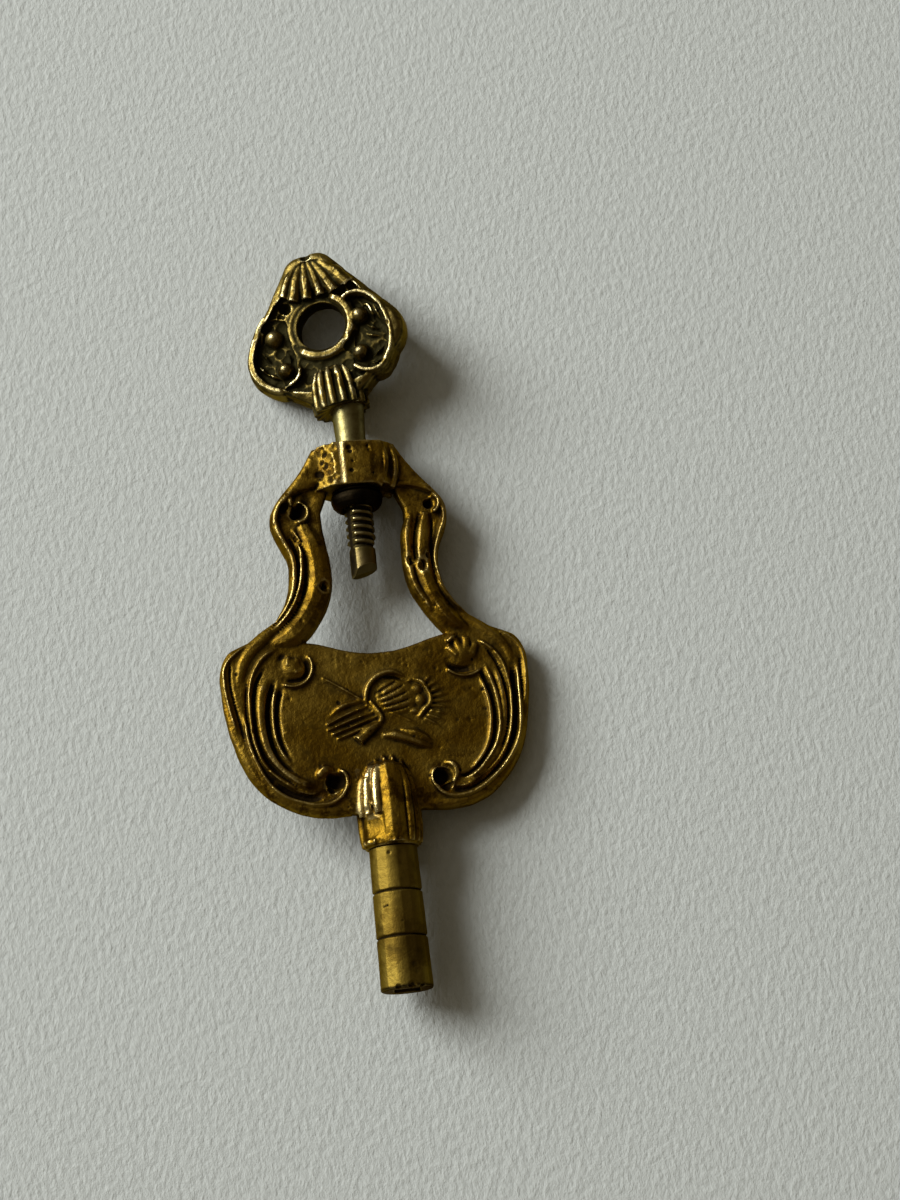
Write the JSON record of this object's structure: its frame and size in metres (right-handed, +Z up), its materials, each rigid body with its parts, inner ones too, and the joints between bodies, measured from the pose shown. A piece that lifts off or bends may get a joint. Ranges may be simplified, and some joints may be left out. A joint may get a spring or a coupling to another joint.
{
  "type": "watch key",
  "caption": "Pocket-watch winding key with a square-socketed pipe, a cast lyre-shaped bow with scroll relief, and a pierced pendant that swivels on a threaded stem.",
  "frame": {"origin": "middle of the winding socket's mouth, on the axis shared by the pipe and the swivel", "axes": "+Y along the pipe towards the pendant, +X to the right of the bow seen from the front, +Z up from the table that the key lies on"},
  "size_m": [0.0222, 0.0555, 0.005],
  "materials": {
    "bow_brass": "worn olive-brown patina, bright on the ridges and near black in the hollows",
    "pendant_brass": "worn olive-brown patina, bright on the ridges and near black in the hollows",
    "pipe_brass": "satin turned brass with a light patina",
    "stem_brass": "satin turned brass, a little greenish on the neck",
    "dark_brass": "dark brown tarnish"
  },
  "bodies": {
    "bow": {"lyre_bow": "bow_brass", "pipe": "pipe_brass"},
    "washer": {"thrust_washer": "dark_brass"},
    "pendant": {"pendant": "pendant_brass", "swivel_stem": "stem_brass", "retaining_nut": "dark_brass"}
  },
  "joints": [
    {"name": "end_play", "type": "slide", "parent": "bow", "child": "washer", "axis": [0, 1, 0], "range_m": [-0.0015, 0]},
    {"name": "swivel", "type": "hinge", "parent": "washer", "child": "pendant", "pos_m": [0, 0.0398, 0], "axis": [0, 1, 0], "continuous": true}
  ]
}
